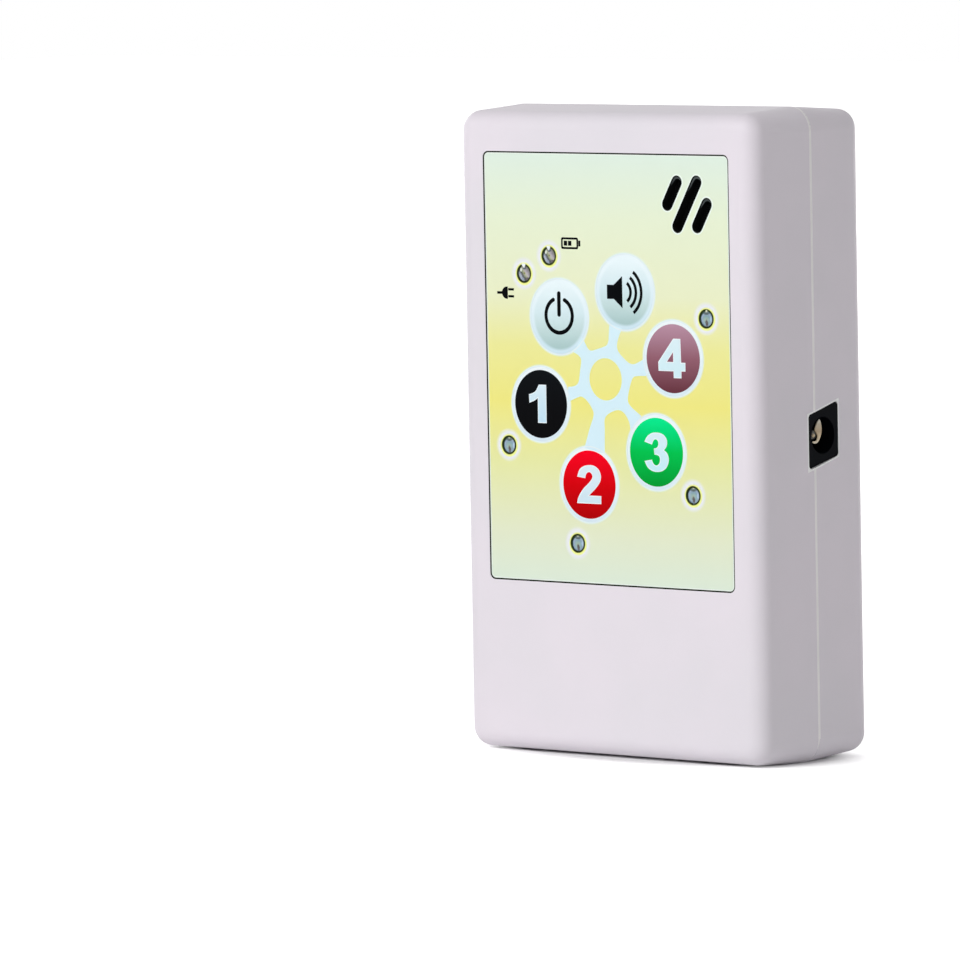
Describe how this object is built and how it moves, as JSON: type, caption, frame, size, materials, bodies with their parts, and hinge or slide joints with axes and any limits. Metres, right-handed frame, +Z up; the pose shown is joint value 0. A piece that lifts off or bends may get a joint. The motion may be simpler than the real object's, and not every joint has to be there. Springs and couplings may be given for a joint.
{
  "type": "medical alert base station",
  "caption": "Upright white two-shell call receiver with a printed key film, press keys, clear indicator lamps, slanted sound slots and a low-voltage power socket.",
  "frame": {"origin": "middle of the standing face under the case", "axes": "+Z up, -Y out of the printed front, +X to the right seen from the front"},
  "size_m": [0.0676, 0.0298, 0.1116],
  "materials": {
    "white_abs": "fine satin",
    "printed_film": "satin",
    "film_white": "satin",
    "film_black": "satin",
    "film_red": "satin",
    "film_green": "satin",
    "film_mauve": "satin",
    "adhesive": "clear tape",
    "black_plastic": "satin",
    "clear_lens": "clear",
    "tinned_metal": "bright",
    "green_board": "solder mask",
    "steel": "bright zinc",
    "speaker_steel": "black",
    "cone_film": "thin film",
    "black_cloth": "woven",
    "spring_brass": "bright",
    "battery_wrap": "shrink film",
    "foam": "foam",
    "white_nylon": "plain",
    "wire_cover": "plain",
    "aluminium_can": "bright"
  },
  "bodies": {
    "case": {"front_shell": "white_abs", "rear_shell": "white_abs", "keypad_overlay": "printed_film", "overlay_adhesive": "adhesive", "led_leads": "tinned_metal", "main_board": "green_board", "board_screws": "steel", "case_screws": "steel", "speaker_mesh": "black_cloth", "speaker_frame": "speaker_steel", "speaker_cone": "cone_film", "speaker_magnet": "steel", "speaker_leads": "wire_cover", "dc_jack_body": "black_plastic", "dc_jack_pin": "tinned_metal", "dc_jack_contact": "spring_brass", "battery_pack": "battery_wrap", "battery_pad": "foam", "battery_header": "white_nylon", "battery_plug": "white_nylon", "battery_leads": "wire_cover", "radio_board": "green_board", "radio_can": "tinned_metal", "antenna_wire": "wire_cover", "main_chip": "black_plastic", "sound_chip": "black_plastic", "crystal": "tinned_metal", "capacitors": "aluminium_can", "switch_body_power": "black_plastic", "switch_body_volume": "black_plastic", "switch_body_1": "black_plastic", "switch_body_2": "black_plastic", "switch_body_3": "black_plastic", "switch_body_4": "black_plastic", "led_power": "clear_lens", "led_battery": "clear_lens", "led_1": "clear_lens", "led_2": "clear_lens", "led_3": "clear_lens", "led_4": "clear_lens"},
    "power_key": {"key_power": "film_white", "plunger_power": "white_abs", "switch_button_power": "black_plastic"},
    "volume_key": {"key_volume": "film_white", "plunger_volume": "white_abs", "switch_button_volume": "black_plastic"},
    "call_key_1": {"key_1": "film_black", "plunger_1": "white_abs", "switch_button_1": "black_plastic"},
    "call_key_2": {"key_2": "film_red", "plunger_2": "white_abs", "switch_button_2": "black_plastic"},
    "call_key_3": {"key_3": "film_green", "plunger_3": "white_abs", "switch_button_3": "black_plastic"},
    "call_key_4": {"key_4": "film_mauve", "plunger_4": "white_abs", "switch_button_4": "black_plastic"}
  },
  "joints": [
    {"name": "power_key_press", "type": "slide", "parent": "case", "child": "power_key", "axis": [0, 1, 0], "range_m": [0, 0.0003], "stiffness_N_per_m": 1000, "springref_m": -0.0003},
    {"name": "volume_key_press", "type": "slide", "parent": "case", "child": "volume_key", "axis": [0, 1, 0], "range_m": [0, 0.0003], "stiffness_N_per_m": 1000, "springref_m": -0.0003},
    {"name": "call_key_1_press", "type": "slide", "parent": "case", "child": "call_key_1", "axis": [0, 1, 0], "range_m": [0, 0.0003], "stiffness_N_per_m": 1000, "springref_m": -0.0003},
    {"name": "call_key_2_press", "type": "slide", "parent": "case", "child": "call_key_2", "axis": [0, 1, 0], "range_m": [0, 0.0003], "stiffness_N_per_m": 1000, "springref_m": -0.0003},
    {"name": "call_key_3_press", "type": "slide", "parent": "case", "child": "call_key_3", "axis": [0, 1, 0], "range_m": [0, 0.0003], "stiffness_N_per_m": 1000, "springref_m": -0.0003},
    {"name": "call_key_4_press", "type": "slide", "parent": "case", "child": "call_key_4", "axis": [0, 1, 0], "range_m": [0, 0.0003], "stiffness_N_per_m": 1000, "springref_m": -0.0003}
  ]
}
